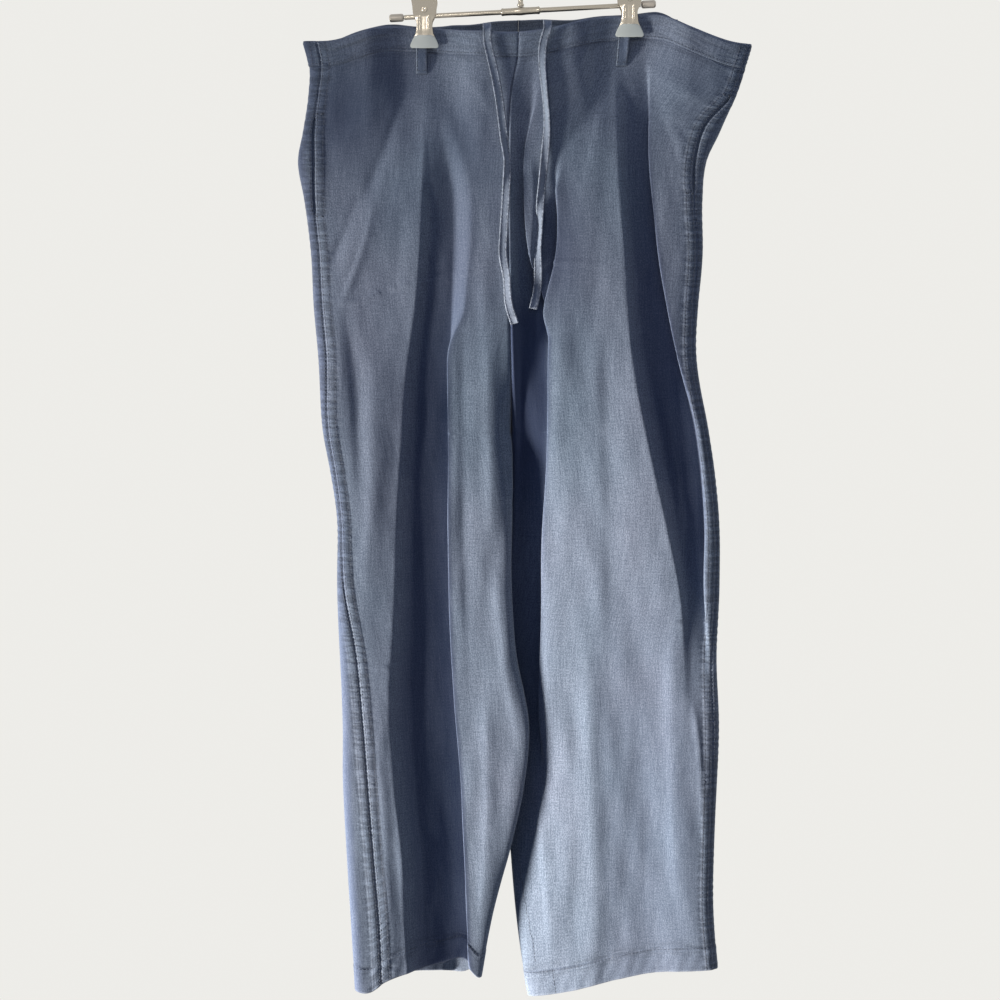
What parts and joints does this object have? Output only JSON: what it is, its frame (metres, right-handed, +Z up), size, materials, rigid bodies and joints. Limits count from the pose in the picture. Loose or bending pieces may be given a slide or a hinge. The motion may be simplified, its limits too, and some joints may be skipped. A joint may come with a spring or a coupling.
{
  "type": "linen trousers on a clip hanger",
  "caption": "Wide straight drawstring trousers in slub linen, hanging flat from a metal clip hanger by the waistband.",
  "frame": {"origin": "where the hook's inner top rests on a rail", "axes": "+Z up, -Y towards the front of the trousers, +X to the right as seen from the front"},
  "size_m": [0.4639, 0.0606, 1.1285],
  "materials": {
    "linen": "matt washed slub linen, plain weave",
    "tape": "matt folded and stitched linen tape",
    "steel": "plated wire, lightly brushed",
    "caps": "moulded",
    "jaws": "moulded, ribbed"
  },
  "bodies": {
    "root": {"front_left": "linen", "front_right": "linen", "back_left": "linen", "back_right": "linen", "waistband_front_left": "linen", "waistband_front_right": "linen", "waistband_back_left": "linen", "waistband_back_right": "linen", "pocket_facing_left": "linen", "pocket_facing_right": "linen", "belt_loop_front_left": "linen", "belt_loop_front_right": "linen", "belt_loop_back_left": "linen", "belt_loop_back_centre": "linen", "belt_loop_back_right": "linen", "drawstring_left": "tape", "drawstring_right": "tape", "hanger_bar": "steel", "hanger_sleeve": "steel", "hanger_swivel": "steel", "hanger_hook": "steel", "clip_left_barrel": "steel", "clip_right_barrel": "steel", "hanger_cap_left": "caps", "hanger_cap_right": "caps", "clip_left_front_jaw": "jaws", "clip_left_back_jaw": "jaws", "clip_right_front_jaw": "jaws", "clip_right_back_jaw": "jaws"}
  },
  "joints": []
}
